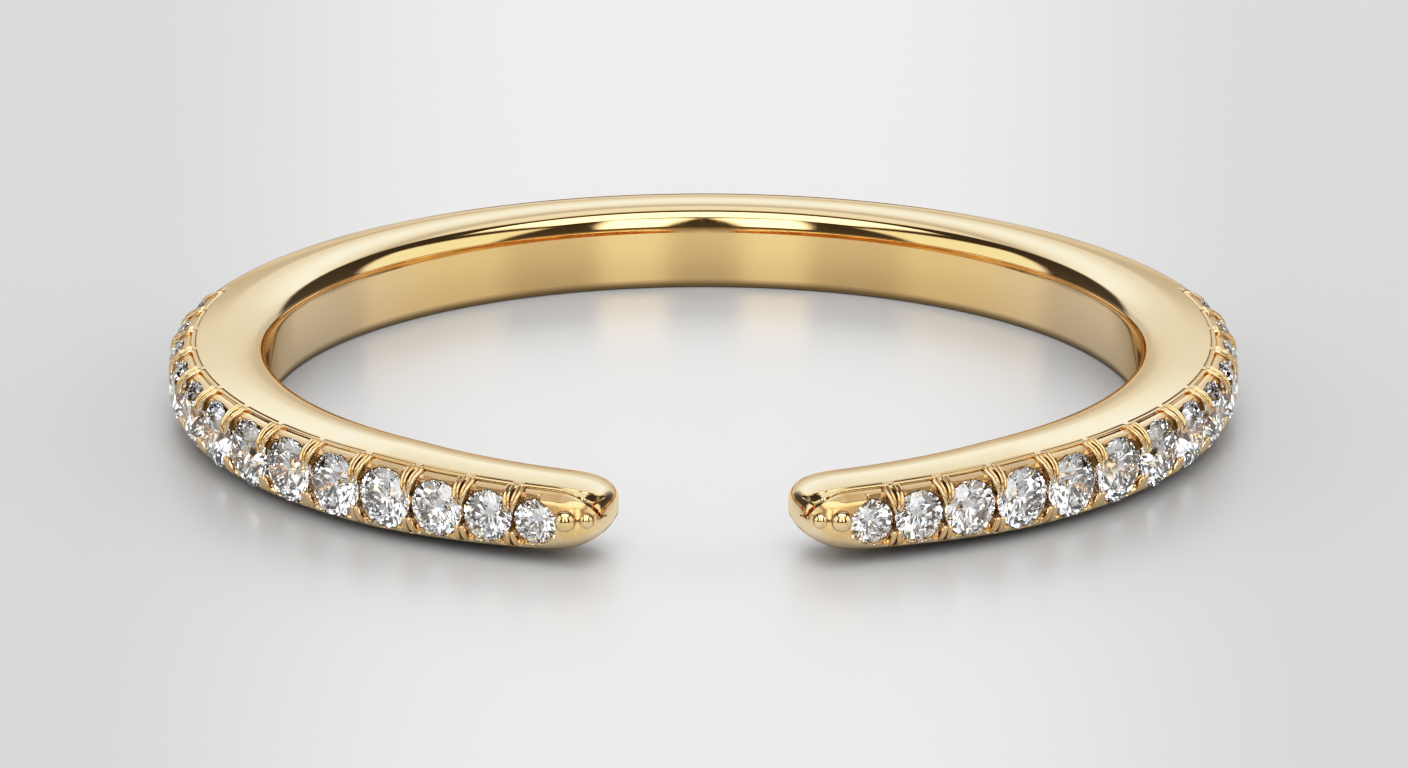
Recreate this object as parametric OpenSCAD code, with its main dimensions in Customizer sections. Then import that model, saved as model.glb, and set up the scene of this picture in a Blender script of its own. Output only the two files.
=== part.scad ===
// Open cuff ring: a gold band with two rounded tips and a row of graduated
// brilliant-cut stones set in cut-down paired prongs along each arm.
// It lies on its side: Z runs through the finger opening, the gap faces -Y.

/* [Band] */
// Finger opening, straight across
bore_d = 17; // [15:0.1:21]
// Thickness from the finger opening to the widest point outside
wall_t = 1.97; // [1.8:0.01:2.6]
// Height of the band as it lies on its side
band_h = 1.66; // [1.5:0.01:2.2]
// Clear gap between the two tips
tip_gap = 3.26; // [2:0.02:6]

/* [Section] */
// How far the rolled upper edge of the finger opening reaches outward
roll_w = 0.85; // [0.5:0.01:1]
// How far that rolled edge drops into the finger opening
roll_h = 0.38; // [0.2:0.01:0.5]
// Small rounding at the lower edge of the finger opening
lower_round = 0.08; // [0.04:0.01:0.2]
// How far the channel edge lies inside the widest point
edge_in = 0.466; // [0.4:0.001:0.6]
// How far the channel edge lies below the top of the band
edge_drop = 0.13; // [0.06:0.01:0.2]
// How far the domed outside starts inside the channel edge
dome_lead = 0.1; // [0.05:0.01:0.15]

/* [Tips] */
// Length over which each arm grows lower towards its tip
taper_len = 4.65; // [3.5:0.05:6]
// Height that is left at the tip before it is rounded off
tip_share = 0.8; // [0.65:0.01:0.95]
// Length of the rounding seen from the side
nose_len = 1.4; // [1:0.01:1.8]
// Length of the rounding seen from above
plan_nose_len = 0.7; // [0.4:0.01:1]
// Where across the wall the very end of the tip lies
tip_across = 0.35; // [0.3:0.01:0.5]
// How far the very end of the tip lies above the middle
tip_lift = 0.12; // [0:0.01:0.2]
// Large bead between the first stone and the tip
bead_large_d = 0.47; // [0.3:0.01:0.55]
// Small bead nearest the tip
bead_small_d = 0.33; // [0.2:0.01:0.4]
// Gap between the first stone's edge and the large bead; below zero the bead laps over the stone
bead_gap = -0.02; // [-0.05:0.01:0.05]
// Gap between the two beads
bead_space = 0.1; // [0.05:0.01:0.15]
// How far the beads' centres lie under the surface
bead_sink = 0.07; // [0.02:0.01:0.12]

/* [Stones] */
// Diameter of the full-size stones
stone_d = 1.31; // [1:0.01:1.4]
// Stones on each arm
stone_count = 13; // [8:1:15]
// Gap between neighbouring stones
stone_gap = 0.055; // [0.05:0.005:0.12]
// Distance of the first stone's centre from the very end of the tip
first_stone = 1.47; // [1.35:0.01:2]
// Depth of the stones' girdle under the widest point
girdle_drop = 0.28; // [0.25:0.002:0.4]
// Clearance between each stone and its seat
seat_clear = 0.02; // [0.015:0.005:0.04]

/* [Prongs] */
// Width of a pair of prongs at the channel edge
pair_w = 0.3; // [0.2:0.01:0.4]
// How far a prong reaches over the edge of a stone
prong_reach = 0.05; // [0.03:0.01:0.1]
// Width of the groove that splits a pair
split_w = 0.05; // [0.03:0.01:0.08]
// Depth of that groove
split_depth = 0.09; // [0.05:0.01:0.12]
// Half height of the waist where neighbouring stones nearly touch
waist_h = 0.25; // [0.2:0.01:0.35]
// Depth of that waist under the girdle
waist_depth = 0.12; // [0.08:0.01:0.2]
// How far under the girdle each bright cut meets the stone
cut_under = 0.06; // [0:0.01:0.1]

/* [Hidden] */

// Shares of a full-size stone, from the tip on; the rest are full size
STONE_SHARE = [0.65, 0.75, 0.83, 0.90, 0.945, 0.975];

// A round brilliant, as shares of its diameter
table_share = 0.57;
crown_share = 0.15;
girdle_share = 0.03;
pavilion_share = 0.43;
// Where the star facets end between table and girdle, and how deep the lower halves reach
star_share = 0.5;
lower_share = 0.77;
facets = 8;

// Degrees that each stone lies turned in its seat against the one before it
turn_step = 19;

// Steps of the curved walls
roll_steps = 6;
face_steps = 3;
dome_steps = 12;
taper_steps = 8;
nose_steps = 7;
face_power = 1.3;

// Share of the shank's section, and degrees inside it, of the plug that each tip starts with
plug_share = 0.996;
plug_a = 0.4;

// Lip that stays outside each bright cut, and the share of the stone's radius where the cut ends
edge_lip = 0.03;
bright_end = 0.88;

bore_r = bore_d / 2;
out_r = bore_r + wall_t;
half_h = band_h / 2;
mid_r = bore_r + wall_t / 2;
crest_r = bore_r + roll_w;
edge_r = out_r - edge_in;
edge_z = half_h - edge_drop;
dome_w = edge_in + dome_lead;
dome_r = out_r - dome_w;
dome_a = acos(dome_lead / dome_w);
dome_h = edge_z / sin(dome_a);
girdle_r = out_r - girdle_drop;

// Azimuths run from the middle of the gap towards the back of the ring
function degrees(len, r) = len / r * 180 / PI;
end_a = asin(tip_gap / 2 / mid_r);
nose_a = end_a + degrees(nose_len, mid_r);
plan_a = end_a + degrees(plan_nose_len, mid_r);
taper_a = end_a + degrees(taper_len, mid_r);
first_a = end_a + degrees(first_stone, girdle_r);

function stone_share(i) = i < len(STONE_SHARE) ? STONE_SHARE[i] : 1;
function stone_r(i) = stone_d / 2 * stone_share(i);
// Neighbouring girdles are chords of the girdle circle
function pitch_a(i) = 2 * asin((stone_r(i) + stone_gap + stone_r(i + 1)) / 2 / girdle_r);
function stone_a(i) = i == 0 ? first_a : stone_a(i - 1) + pitch_a(i - 1);
function junction_a(i) = stone_a(i) + 2 * asin((stone_r(i) + stone_gap / 2) / 2 / girdle_r);

// The band's section as [radius, height], anticlockwise from the lower edge of the finger opening
function dome_point(a) = [dome_r + dome_w * cos(a), dome_h * sin(a)];
function face_point(s, sign) =
    [crest_r + (edge_r - crest_r) * s, sign * (half_h - edge_drop * pow(s, face_power))];
SECTION = concat(
    [for (a = [180, 225, 270]) [bore_r + lower_round * (1 + cos(a)), lower_round * (1 + sin(a)) - half_h]],
    [for (k = [0:face_steps - 1]) face_point(k / face_steps, -1)],
    [for (k = [0:dome_steps]) dome_point(dome_a * (2 * k / dome_steps - 1))],
    [for (k = [face_steps - 1:-1:0]) face_point(k / face_steps, 1)],
    [for (k = [1:roll_steps]) let (a = 90 + 90 * k / roll_steps)
        [crest_r + roll_w * cos(a), half_h - roll_h + roll_h * sin(a)]]
);

// How the section shrinks towards the tip, which starts as a plug a hair smaller than the shank it grows from
function clamp(x) = min(max(x, 0), 1);
function nose(a, from) = sqrt(1 - pow(clamp((from - a) / (from - end_a)), 2));
function taper(a) = plug_share - (1 - tip_share) * clamp((taper_a - a) / (taper_a - end_a));
function height_share(a) = taper(a) * nose(a, nose_a);
function width_share(a) = plug_share * nose(a, plan_a);
function middle_z(a) = tip_lift * pow(clamp((nose_a - a) / (nose_a - end_a)), 2);
tip_r = bore_r + wall_t * tip_across;
function place(p, a) = let (
        r = tip_r + (p.x - tip_r) * width_share(a),
        z = middle_z(a) + p.y * height_share(a)
    ) [r * sin(a), -r * cos(a), z];

// Stations of the tip, from where the taper starts to just before the very end
TIP_STATIONS = concat(
    [taper_a + plug_a],
    [for (k = [0:taper_steps]) taper_a + (nose_a - taper_a) * k / taper_steps],
    [for (k = [1:nose_steps - 1]) nose_a + (end_a - nose_a) * sin(90 * k / nose_steps)]
);

function stone_name(side, i) = str("stone_", side, "_", i < 9 ? "0" : "", i + 1);

// Puts a right-hand piece on the named arm
module arm(side) {
    mirror([side == "left" ? 1 : 0, 0, 0]) children();
}

// Local X points outward, local Y runs along the arm towards the back
module at_azimuth(a) {
    rotate([0, 0, a - 90]) children();
}

// The constant stretch of the band, from one taper round the back to the other
module shank() {
    rotate_extrude(angle = 360 - 2 * taper_a, start = taper_a - 90, $fn = 144) polygon(SECTION);
}

// The tapered, rounded end of the right arm
module tip() {
    n = len(SECTION);
    m = len(TIP_STATIONS);
    points = concat(
        [for (a = TIP_STATIONS) each [for (p = SECTION) place(p, a)]],
        [[tip_r * sin(end_a), -tip_r * cos(end_a), tip_lift]]
    );
    start = [for (k = [0:n - 1]) k];
    walls = [for (s = [0:m - 2], k = [0:n - 1]) let (q = s * n, k2 = (k + 1) % n)
        each [[q + k, q + n + k, q + k2], [q + k2, q + n + k, q + n + k2]]];
    end = [for (k = [0:n - 1]) [(m - 1) * n + k, m * n, (m - 1) * n + (k + 1) % n]];
    polyhedron(points = points, faces = concat([start], walls, end));
}

// The two round beads between the first stone and the tip
module beads() {
    large_a = first_a - degrees(stone_r(0) + bead_gap + bead_large_d / 2, out_r);
    small_a = large_a - degrees((bead_large_d + bead_small_d) / 2 + bead_space, out_r);
    for (bead = [[large_a, bead_large_d], [small_a, bead_small_d]]) {
        a = bead[0];
        surface_r = tip_r + (out_r - tip_r) * width_share(a);
        at_azimuth(a) translate([surface_r - bead_sink, 0, middle_z(a)]) sphere(d = bead[1], $fn = 32);
    }
}

// What a stone's seat removes: its outline grown by the clearance, open outward within the prongs' reach
module seat(r) {
    pavilion = 2 * r * pavilion_share;
    girdle = r * girdle_share;
    over = prong_reach * r / (stone_d / 2);
    crown_rise = 2 * crown_share / (1 - table_share);
    rotate([0, 90, 0]) rotate_extrude($fn = 48) polygon([
        [0, -girdle - pavilion - 2 * seat_clear],
        [r + seat_clear, -girdle - seat_clear],
        [r + seat_clear, girdle + seat_clear],
        [r - over, girdle + seat_clear + (over + seat_clear) * crown_rise],
        [r - over, edge_in],
        [0, edge_in]
    ]);
}

// A flat cut that slopes from the channel edge down to the stone, above or below it
module bright_cut(i, sign) {
    a = stone_a(i);
    r = stone_r(i);
    width = 2 * r + stone_gap - pair_w;
    start = [edge_r + edge_lip, (edge_z - edge_lip / 2) * height_share(a)];
    stop = [girdle_r - cut_under, r * bright_end];
    slope = atan2(stop.y - start.y, stop.x - start.x);
    translate([start.x, 0, sign * start.y]) rotate([0, -sign * slope, 0])
        translate([0, -width / 2, sign > 0 ? 0 : -edge_in]) cube([norm(stop - start) * 2, width, edge_in]);
}

// The waist between two stones, and the grooves that split the prongs above and below it
module junction_cuts(i) {
    a = junction_a(i);
    waist = waist_h * stone_share(i);
    dome_here = dome_h * height_share(a);
    if (i < stone_count - 1)
        translate([girdle_r - waist_depth, -waist, -waist]) cube([edge_in * 2, 2 * waist, 2 * waist]);
    for (sign = [-1, 1]) {
        start = [edge_r + edge_lip, (edge_z - edge_lip) * height_share(a)];
        stop = [dome_r + dome_w * cos(asin(waist / dome_here)) - split_depth, waist];
        slope = atan2(stop.y - start.y, stop.x - start.x);
        translate([start.x, 0, sign * start.y]) rotate([0, -sign * slope, 0])
            translate([0, -split_w / 2, sign > 0 ? 0 : -edge_in])
                cube([norm(stop - start), split_w, edge_in]);
    }
}

module band() {
    color([0.88, 0.74, 0.48]) difference() {
        union() {
            shank();
            for (side = ["left", "right"]) arm(side) {
                tip();
                beads();
            }
        }
        for (side = ["left", "right"]) arm(side) for (i = [0:stone_count - 1]) {
            at_azimuth(stone_a(i)) {
                translate([girdle_r, 0, 0]) seat(stone_r(i));
                for (sign = [-1, 1]) bright_cut(i, sign);
            }
            at_azimuth(junction_a(i)) junction_cuts(i);
        }
    }
}

// A round brilliant with its table outward along X and its girdle at the origin
module brilliant(r) {
    d = 2 * r;
    table_r = r * table_share;
    girdle = r * girdle_share;
    crown = girdle + d * crown_share;
    pavilion = girdle + d * pavilion_share;
    step = 360 / facets;
    table_edge = table_r * cos(step / 2);
    star_r = table_edge + (r - table_edge) * star_share;
    star_h = crown - (star_r * cos(step / 2) - table_r) * (crown - girdle) / (r - table_r);
    lower_r = r * (1 - lower_share);
    lower_h = lower_r * cos(step / 2) * (pavilion - girdle) / r - pavilion;
    function ring(count, radius, h, turn) =
        [for (k = [0:count - 1]) let (a = turn + 360 * k / count) [h, radius * cos(a), radius * sin(a)]];
    points = concat(
        ring(facets, table_r, crown, 0),
        ring(facets, star_r, star_h, step / 2),
        ring(2 * facets, r, girdle, 0),
        ring(2 * facets, r, -girdle, 0),
        ring(facets, lower_r, lower_h, step / 2),
        [[-pavilion, 0, 0]]
    );
    star = facets;
    upper = 2 * facets;
    lower = 4 * facets;
    half = 6 * facets;
    culet = 7 * facets;
    faces = concat(
        [[for (k = [0:facets - 1]) k]],
        [for (k = [0:facets - 1]) let (k2 = (k + 1) % facets, g = 2 * k, g1 = 2 * k + 1,
            g2 = (2 * k + 2) % (2 * facets), kb = (k + facets - 1) % facets)
            each [
                [k, star + k, k2],
                [k, upper + g, star + k],
                [k, star + kb, upper + g],
                [star + k, upper + g, upper + g1],
                [star + k, upper + g1, upper + g2],
                [upper + g, lower + g, upper + g1],
                [upper + g1, lower + g, lower + g1],
                [upper + g1, lower + g1, upper + g2],
                [upper + g2, lower + g1, lower + g2],
                [lower + g, half + k, lower + g1],
                [lower + g1, half + k, lower + g2],
                [lower + g, culet, half + k],
                [lower + g, half + kb, culet]
            ]]
    );
    polyhedron(points = points, faces = [for (f = faces) [for (k = [len(f) - 1:-1:0]) f[k]]]);
}

module stone(side, i) {
    color([0.92, 0.95, 1]) arm(side) at_azimuth(stone_a(i)) translate([girdle_r, 0, 0])
        rotate([turn_step * i, 0, 0]) brilliant(stone_r(i));
}

band();
for (side = ["left", "right"], i = [0:stone_count - 1])
    stone(side, i);
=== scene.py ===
import bpy
import math
import numpy as np
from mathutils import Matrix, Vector


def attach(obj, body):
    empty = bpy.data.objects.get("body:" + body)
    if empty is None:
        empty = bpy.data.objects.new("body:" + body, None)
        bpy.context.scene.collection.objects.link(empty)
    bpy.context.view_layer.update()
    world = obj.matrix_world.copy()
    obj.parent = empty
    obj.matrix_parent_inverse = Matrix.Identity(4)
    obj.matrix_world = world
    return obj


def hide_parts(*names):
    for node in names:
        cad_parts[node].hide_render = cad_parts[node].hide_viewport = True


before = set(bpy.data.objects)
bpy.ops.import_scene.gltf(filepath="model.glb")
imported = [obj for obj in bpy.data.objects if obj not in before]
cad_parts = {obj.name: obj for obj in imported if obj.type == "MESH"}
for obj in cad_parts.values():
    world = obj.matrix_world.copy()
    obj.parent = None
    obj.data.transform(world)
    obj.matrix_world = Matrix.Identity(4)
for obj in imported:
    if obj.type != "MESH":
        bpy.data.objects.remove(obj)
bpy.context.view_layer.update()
scene = bpy.context.scene
mm = 0.001
print("frame loaded with", len(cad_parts), "nodes")

# a long lens, 17 degrees above the floor; distances in millimetres from the ring's middle
camera = {
    "elevation": 17.0, "distance": 300.0, "right": 0.010, "down": 0.240, "lens": 393.2, "sensor": 36,
    "clip": (0.01, 10),
}


def makeCamera():
    tilt = math.radians(camera["elevation"])
    back = Vector((0, -math.cos(tilt), math.sin(tilt)))
    up = Vector((0, math.sin(tilt), math.cos(tilt)))
    place = back * camera["distance"] + Vector((camera["right"], 0, 0)) - up * camera["down"]
    data = bpy.data.cameras.new("viewCamera")
    data.sensor_width = camera["sensor"]
    data.lens = camera["lens"]
    data.clip_start, data.clip_end = camera["clip"]
    holder = bpy.data.objects.new("viewCamera", data)
    holder.location = place * mm
    holder.rotation_mode = "QUATERNION"
    holder.rotation_quaternion = (-back).to_track_quat("-Z", "Y")
    scene.collection.objects.link(holder)
    scene.camera = holder


makeCamera()
print("camera placed")


# one socket of a material, so that shader maths reads as plain expressions
class Signal:
    def __init__(self, tree, socket):
        self.tree = tree
        self.socket = socket

    def maths(self, operation, *values):
        return addNode(self.tree, "ShaderNodeMath", {"operation": operation}, dict(enumerate(values)))

    def __add__(self, other):
        return self.maths("ADD", self, other)

    def __radd__(self, other):
        return self.maths("ADD", other, self)

    def __sub__(self, other):
        return self.maths("SUBTRACT", self, other)

    def __rsub__(self, other):
        return self.maths("SUBTRACT", other, self)

    def __mul__(self, other):
        return self.maths("MULTIPLY", self, other)

    def __rmul__(self, other):
        return self.maths("MULTIPLY", other, self)

    def __truediv__(self, other):
        return self.maths("DIVIDE", self, other)

    def size(self):
        return self.maths("ABSOLUTE", self)

    def between(self, low, high):
        return addNode(self.tree, "ShaderNodeMapRange", {"interpolation_type": "SMOOTHSTEP"},
                       {"Value": self, "From Min": low, "From Max": high})


def addNode(tree, kind, settings=None, inputs=None, output=0):
    node = tree.nodes.new(kind)
    for key, value in (settings or {}).items():
        if key == "stops":
            ramp = node.color_ramp
            while len(ramp.elements) < len(value):
                ramp.elements.new(0.5)
            for element, (place, colour) in zip(ramp.elements, value):
                element.position = place
                element.color = (*colour, 1)
        else:
            setattr(node, key, value)
    for key, value in (inputs or {}).items():
        socket = node.inputs[key]
        if isinstance(value, Signal):
            tree.links.new(value.socket, socket)
        elif socket.type == "RGBA" and len(value) == 3:
            socket.default_value = (*value, 1)
        else:
            socket.default_value = value
    return Signal(tree, node.outputs[output]) if node.outputs else None


# a Mix node's colour sockets share their names with others, so they go by number
def mixColours(tree, share, first, second):
    return addNode(tree, "ShaderNodeMix", {"data_type": "RGBA"}, {0: share, 6: first, 7: second}, 2)


def newMaterial(name):
    material = bpy.data.materials.new(name)
    material.use_nodes = True
    material.node_tree.nodes.clear()
    return material, material.node_tree


def finishMaterial(tree, surface):
    addNode(tree, "ShaderNodeOutputMaterial", inputs={"Surface": surface})


# each Facing pair is a stretch of the slant, which is 0 where metal is met straight on and 1 at its outline
# pale and flat stand for painted sheen by slant, deep is the painted shade tone, and the dark line colour is
# painted shade and painted dark reflection
goldLook = {
    "face": (0.93, 0.635, 0.275), "pale": (1.0, 0.885, 0.70), "flat": (0.93, 0.72, 0.42),
    "deep": (0.46, 0.20, 0.04), "grazing": (0.93, 0.76, 0.52), "line": (0.07, 0.038, 0.014),
    "paleFacing": (0.16, 0.80), "flatFacing": (0.76, 0.94), "lineFacing": (0.90, 0.945), "lineShare": 0.8,
    "cloud": 900, "cloudShare": 0.10, "cloudDetail": 4,
    "scratch": 5200, "scratched": (0.35, 0.75), "scratchDetail": 6, "scratchRough": 0.7,
    "wearFrom": 0.52, "wearTo": 0.62, "wornPale": 0.35,
    "rough": 0.045, "roughScratched": 0.05, "roughDeep": 0.42, "roughWorn": 0.03,
    "bump": 0.012, "bumpDepth": 0.00002,
}


def goldMaterial():
    look = goldLook
    material, tree = newMaterial("paleGold")
    place = addNode(tree, "ShaderNodeTexCoord", output="Object")
    cloud = addNode(tree, "ShaderNodeTexNoise",
                    inputs={"Vector": place, "Scale": look["cloud"], "Detail": look["cloudDetail"]})
    scratch = addNode(tree, "ShaderNodeTexNoise",
                      inputs={"Vector": place, "Scale": look["scratch"], "Detail": look["scratchDetail"],
                              "Roughness": look["scratchRough"]})
    recess = addNode(tree, "ShaderNodeAttribute", {"attribute_name": "recess"}, output="Fac")
    shadeMarks = addNode(tree, "ShaderNodeAttribute", {"attribute_name": "line"}, output="Fac")
    edge = addNode(tree, "ShaderNodeNewGeometry", output="Pointiness")
    slant = addNode(tree, "ShaderNodeLayerWeight", inputs={"Blend": 0.5}, output="Facing")
    wear = edge.between(look["wearFrom"], look["wearTo"])
    # painted sheen: rich where it is met straight on, paler at a slant as bright highlights go cream, with a
    # little random cloudiness in it, then a flatter tone near the outline
    pale = slant.between(*look["paleFacing"]) + look["cloudShare"] * (cloud - 0.5)
    tone = mixColours(tree, pale, look["face"], look["pale"])
    tone = mixColours(tree, slant.between(*look["flatFacing"]), tone, look["flat"])
    tone = mixColours(tree, wear * look["wornPale"], tone, look["pale"])
    # painted shade: the deep tone wherever the mesh's shade attribute marks cuts, grooves, prongs and the
    # beads' feet
    tone = mixColours(tree, recess, tone, look["deep"])
    rough = look["rough"] + look["roughScratched"] * scratch.between(*look["scratched"])
    rough = rough + recess * look["roughDeep"] + wear * look["roughWorn"]
    bump = addNode(tree, "ShaderNodeBump",
                   inputs={"Strength": look["bump"], "Distance": look["bumpDepth"], "Height": scratch})
    metal = addNode(tree, "ShaderNodeBsdfPrincipled",
                    inputs={"Base Color": tone, "Metallic": 1.0, "Roughness": rough, "Normal": bump,
                            "Specular Tint": (*look["grazing"], 1)})
    # painted dark reflection at the outline: a dark diffuse finish where a polished edge turns away, and
    # painted shade wherever the mesh's dark line attribute marks it
    line = addNode(tree, "ShaderNodeBsdfDiffuse", inputs={"Color": look["line"]})
    share = slant.between(*look["lineFacing"])
    share = share.maths("MAXIMUM", share, shadeMarks * look["lineShare"])
    finishMaterial(tree, addNode(tree, "ShaderNodeMixShader", inputs={0: share, 1: metal, 2: line}))
    return material


stoneLook = {
    "clear": (0.81, 0.815, 0.835), "cool": (0.76, 0.795, 0.855), "index": 2.417, "rough": 0.004,
    "cloud": 1500.0, "cloudDetail": 2, "cloudy": (0.4, 0.6),
}


def stoneMaterial():
    material, tree = newMaterial("clearStone")
    place = addNode(tree, "ShaderNodeTexCoord", output="Object")
    cloud = addNode(tree, "ShaderNodeTexNoise",
                    inputs={"Vector": place, "Scale": stoneLook["cloud"],
                            "Detail": stoneLook["cloudDetail"]})
    tone = mixColours(tree, cloud.between(*stoneLook["cloudy"]), stoneLook["clear"], stoneLook["cool"])
    shader = addNode(tree, "ShaderNodeBsdfPrincipled",
                     inputs={"Base Color": tone, "Roughness": stoneLook["rough"] * cloud,
                             "IOR": stoneLook["index"], "Transmission Weight": 1.0})
    finishMaterial(tree, shader)
    return material


gold = goldMaterial()
clearStone = stoneMaterial()
print("materials made")

# the ring's own sizes in millimetres, as the solids have them; backTurns is in radians from the opening
ring = {
    "bore": 8.5, "outer": 10.47, "half": 0.83, "crest": 9.35, "rollHeight": 0.38, "lowerRound": 0.08,
    "edge": 10.004, "edgeHeight": 0.70, "corner": 9.885, "facePower": 1.3,
    "domeMiddle": 9.904, "domeWidth": 0.566, "backTrim": 0.006, "backTurns": (2.1, 2.5),
    "tipGap": 3.26, "nose": 1.4, "noseBack": 0.045, "planNose": 0.7, "planPower": 2.0, "taper": 4.65,
    "tipShare": 0.8, "tipAcross": 0.35, "tipLift": 0.12, "blunt": 2.4,
}
stones = {
    "diameter": 1.31, "shares": [0.65, 0.75, 0.83, 0.90, 0.945, 0.975], "count": 13, "gap": 0.055,
    "first": 1.47, "girdle": 10.19,
}
middleRadius = (ring["bore"] + ring["outer"]) / 2
domeAngle = math.acos((ring["edge"] - ring["domeMiddle"]) / ring["domeWidth"])
domeHeight = ring["edgeHeight"] / math.sin(domeAngle)
tipRadius = ring["bore"] + (ring["outer"] - ring["bore"]) * ring["tipAcross"]
tipEnd = math.asin(ring["tipGap"] / 2 / middleRadius)
noseTip = tipEnd + ring["noseBack"] / middleRadius
noseFrom = tipEnd + ring["nose"] / middleRadius
planFrom = tipEnd + ring["planNose"] / middleRadius
taperFrom = tipEnd + ring["taper"] / middleRadius

stoneShares = stones["shares"] + [1] * (stones["count"] - len(stones["shares"]))
stoneRadii = [stones["diameter"] / 2 * share for share in stoneShares]
stoneTurns = [tipEnd + stones["first"] / stones["girdle"]]
for i in range(stones["count"] - 1):
    pitch = stoneRadii[i] + stones["gap"] + stoneRadii[i + 1]
    stoneTurns.append(stoneTurns[-1] + 2 * math.asin(pitch / 2 / stones["girdle"]))


# the turn from a stone's middle to its join with the next
def toJoin(i):
    return 2 * math.asin((stoneRadii[i] + stones["gap"] / 2) / 2 / stones["girdle"])


# the joins between stones, with one more before the first stone and one after the last
joinTurns = [stoneTurns[0] - toJoin(0)] + [stoneTurns[i] + toJoin(i) for i in range(stones["count"])]


def smooth(value, low, high):
    share = np.clip((value - low) / (high - low), 0, 1)
    return share * share * (3 - 2 * share)


def around(value, middle, soft):
    return smooth(value, middle - soft, middle + soft)


# a turn in radians against a stretch in degrees
def smoothTurn(turn, stretch):
    return smooth(turn, math.radians(stretch[0]), math.radians(stretch[1]))


def blend(first, second, share):
    return first + (second - first) * share


# 1 along the arm, falling to 0 round the nose
def noseCurve(turn, start, blunt):
    share = np.clip((start - turn) / (start - noseTip), 0, 1)
    return np.clip(1 - share ** blunt, 0, 1) ** (1 / blunt)


# the band's height as a share of its full height
def heightAt(turn):
    taper = 1 - (1 - ring["tipShare"]) * np.clip((taperFrom - turn) / (taperFrom - tipEnd), 0, 1)
    return taper * noseCurve(turn, noseFrom, ring["blunt"])


def edgeAt(turn):
    return ring["edgeHeight"] * heightAt(turn)


# how far the band's middle is lifted at the nose
def middleAt(turn):
    return ring["tipLift"] * np.clip((noseFrom - turn) / (noseFrom - tipEnd), 0, 1) ** 2


# radius of the plain outside
def domeAt(turn, z):
    share = np.clip(z / (domeHeight * np.maximum(heightAt(turn), 1e-4)), -1, 1)  # never divides by zero
    radius = ring["domeMiddle"] + ring["domeWidth"] * np.sqrt(1 - share ** 2)
    return radius - ring["backTrim"] * smooth(turn, *ring["backTurns"])


# points in space; round the nose the section draws in towards tipRadius
def inPlace(turn, radius, z):
    r = tipRadius + (radius - tipRadius) * noseCurve(turn, planFrom, ring["planPower"])
    return np.stack(np.broadcast_arrays(r * np.sin(turn), -r * np.cos(turn), z + middleAt(turn)), -1)


# the setting, cut into the outside of the band: millimetres, and turns in degrees from the opening's middle
setting = {
    "noseTurns": (11.1, 12.2), "back": 0.17, "rimBelow": 0.075, "rimSoft": 0.05,
    "lipDown": 0.042, "lipRadius": 10.012, "lipReach": 0.03, "lipSoft": 0.012,
    "scallop": 0.075, "scallopGaps": (0.045, 0.10), "lipScallop": 0.8,
    "curlFrom": 17.0, "curlTo": 11.2, "curlPower": 2.5, "curlHeight": 0.556, "curlLow": 0.09,
    "tipLipRadius": 10.22, "tipLipTurns": (15.5, 12.0),
    "floor": 0.012, "floorHeights": (-0.22, -0.02),
    "tipRise": 4.5, "noseRise": 2.4, "riseTurns": (11.5, 15.5),
}
# how softly the cut ends behind the last stone, in radians
backFade = 0.004
backSoft = 0.002
channelEnd = joinTurns[-1] + setting["back"] / stones["girdle"]


# height of the lip: along the arm, then curling down round the small bead at the tip
def lipAt(turn):
    along = edgeAt(turn) - setting["lipDown"]
    start, end = math.radians(setting["curlFrom"]), math.radians(setting["curlTo"])
    share = np.clip((start - turn) / (start - end), 0, 1)
    curl = np.sqrt(np.clip(1 - share ** setting["curlPower"], 0, 1))
    arc = setting["curlLow"] + (setting["curlHeight"] - setting["curlLow"]) * curl
    return np.minimum(along, np.where(turn < start, arc - middleAt(turn), along))


# radius of the lip, which moves out over the dome at the tip
def lipRadiusAt(turn):
    return blend(setting["lipRadius"], setting["tipLipRadius"], smoothTurn(turn, setting["tipLipTurns"]))


# 1 along the row of stones and beads, 0 on the plain metal
def inSetting(turn):
    return smoothTurn(turn, setting["noseTurns"]) * (1 - smooth(turn, channelEnd - backFade, channelEnd))


# 1 over a stone, 0 at the joins between stones; 1 again over the beads
def overStone(turn):
    share = np.where(turn < joinTurns[0], 1.0, 0.0)
    for i in range(stones["count"]):
        gap = stoneRadii[i] + stones["gap"] / 2 - np.abs(stones["girdle"] * np.sin(turn - stoneTurns[i]))
        inCell = (turn > joinTurns[i]) & (turn <= joinTurns[i + 1])
        share = np.where(inCell, smooth(gap, *setting["scallopGaps"]), share)
    beforeFirst = (turn > joinTurns[0]) & (turn < stoneTurns[0])
    return np.where(beforeFirst, 1.0, share)


# the floor of the cut at the nose, close to level under the lip, with the beads on it
def noseFloorAt(turn, z, dome):
    up = z > 0
    rise = blend(setting["tipRise"], setting["noseRise"], smoothTurn(turn, setting["riseTurns"]))
    level = lipRadiusAt(turn) + np.maximum(lipAt(turn) - np.abs(z), 0) * rise
    sunk = setting["floor"] * np.where(up, 1.0, smooth(z, *setting["floorHeights"]))
    return np.minimum(dome - sunk, np.where(up, level, dome))


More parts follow.
